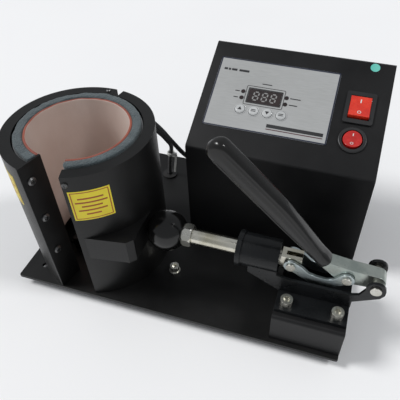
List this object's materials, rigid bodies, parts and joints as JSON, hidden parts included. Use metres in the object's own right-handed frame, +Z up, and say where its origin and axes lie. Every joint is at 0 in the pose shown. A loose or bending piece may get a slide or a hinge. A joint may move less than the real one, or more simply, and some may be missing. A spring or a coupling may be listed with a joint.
{
  "type": "mug heat press",
  "caption": "Bench heat press that wraps a heated split sleeve round a mug and closes it with a push-pull toggle clamp, with a sloping control console beside it.",
  "frame": {"origin": "middle of the whole press in plan, at the height of the feet", "axes": "+X along the base plate from the heated sleeve to the clamp's hinge, +Y to the back, +Z up"},
  "size_m": [0.322, 0.2172, 0.1844],
  "materials": {
    "black_coat": "fine textured black powder coat",
    "black_rubber": "matt black rubber",
    "zinc": "bright zinc plated steel",
    "black_plastic": "black moulded plastic",
    "green_board": "green circuit board",
    "brass": "plain brass spacers",
    "smoked_window": "dark red smoked window",
    "grey_overlay": "silver grey printed film",
    "red_plastic": "translucent red plastic",
    "silver_plastic": "satin silver plastic",
    "green_label": "pale green paper dot",
    "spring_steel": "polished spring steel",
    "grey_foam": "blue grey sponge insulation",
    "red_silicone": "red brown silicone with a pale inner face",
    "yellow_label": "printed yellow label",
    "black_vinyl": "dipped black vinyl, slightly glossy",
    "black_braid": "black glass fibre braid",
    "white_nylon": "white nylon"
  },
  "bodies": {
    "base": {"base_plate": "black_coat", "rubber_feet": "black_rubber", "foot_screws": "zinc", "plate_screw": "zinc", "console_shell": "black_coat", "console_back": "black_coat", "back_screws": "zinc", "power_inlet": "black_plastic", "fuse_holder": "black_plastic", "control_board": "green_board", "board_spacers": "brass", "display_module": "black_plastic", "display_window": "smoked_window", "panel_overlay": "grey_overlay", "indicator_leds": "red_plastic", "rocker_frame": "black_plastic", "round_frame": "black_plastic", "round_sticker": "green_label", "left_casing": "black_coat", "slot_plate": "black_coat", "slot_screws": "zinc", "left_band": "spring_steel", "left_foam": "grey_foam", "left_mat": "red_silicone", "mug_rest": "black_coat", "rest_screws": "zinc", "side_sticker": "yellow_label", "rim_screw": "zinc", "clamp_block": "black_coat", "clamp_frame": "black_coat", "clamp_screws": "zinc", "rear_pin": "zinc", "lead_sleeve_a": "black_braid", "lead_sleeve_b": "black_braid", "lead_grommet": "black_rubber", "side_grommet": "black_rubber", "cable_tie": "white_nylon"},
    "jaw": {"right_casing": "black_coat", "push_bracket": "black_coat", "right_band": "spring_steel", "right_foam": "grey_foam", "right_mat": "red_silicone", "lip_screw": "zinc", "front_sticker": "yellow_label"},
    "handle": {"handle_channel": "zinc", "middle_pin": "zinc", "handle_grip": "black_vinyl"},
    "links": {"front_link": "zinc", "rear_link": "zinc", "link_pins": "zinc"},
    "plunger": {"plunger_rod": "zinc", "lock_nut": "zinc", "ball_knob": "black_rubber"},
    "button_1": {"button_1": "silver_plastic"},
    "button_2": {"button_2": "silver_plastic"},
    "button_3": {"button_3": "silver_plastic"},
    "button_4": {"button_4": "silver_plastic"},
    "rocker": {"rocker_paddle": "red_plastic"},
    "round_rocker": {"round_paddle": "red_plastic"}
  },
  "joints": [
    {"name": "handle_hinge", "type": "hinge", "parent": "base", "child": "handle", "pos_m": [0.1535, -0.0676, 0.077], "axis": [0, 1, 0], "range_deg": [0, 100]},
    {"name": "link_pivot", "type": "hinge", "parent": "handle", "child": "links", "pos_m": [0.1313, -0.0676, 0.0752], "axis": [0, -1, 0], "range_deg": [0, 132.6]},
    {"name": "plunger_slide", "type": "slide", "parent": "base", "child": "plunger", "axis": [1, 0, 0], "range_m": [0, 0.03083]},
    {"name": "jaw_hinge", "type": "hinge", "parent": "base", "child": "jaw", "pos_m": [-0.09237, 0.0036, 0.092], "axis": [0, 0, 1], "range_deg": [0, 5.01]},
    {"name": "button_1_press", "type": "slide", "parent": "base", "child": "button_1", "axis": [0, 0.454, -0.891], "range_m": [0, 0.001], "stiffness_N_per_m": 250},
    {"name": "button_2_press", "type": "slide", "parent": "base", "child": "button_2", "axis": [0, 0.454, -0.891], "range_m": [0, 0.001], "stiffness_N_per_m": 250},
    {"name": "button_3_press", "type": "slide", "parent": "base", "child": "button_3", "axis": [0, 0.454, -0.891], "range_m": [0, 0.001], "stiffness_N_per_m": 250},
    {"name": "button_4_press", "type": "slide", "parent": "base", "child": "button_4", "axis": [0, 0.454, -0.891], "range_m": [0, 0.001], "stiffness_N_per_m": 250},
    {"name": "rocker_tilt", "type": "hinge", "parent": "base", "child": "rocker", "pos_m": [0.1148, 0.0565, 0.14375], "axis": [1, 0, 0], "range_deg": [0, 14]},
    {"name": "round_rocker_tilt", "type": "hinge", "parent": "base", "child": "round_rocker", "pos_m": [0.1139, 0.0287, 0.12958], "axis": [1, 0, 0], "range_deg": [0, 14]}
  ],
  "couplings": [
    {"joint": "plunger_slide", "follows": "handle_hinge", "m_per_rad": 0.017658},
    {"joint": "link_pivot", "follows": "handle_hinge", "ratio": 1.3257},
    {"joint": "jaw_hinge", "follows": "handle_hinge", "ratio": 0.05}
  ]
}
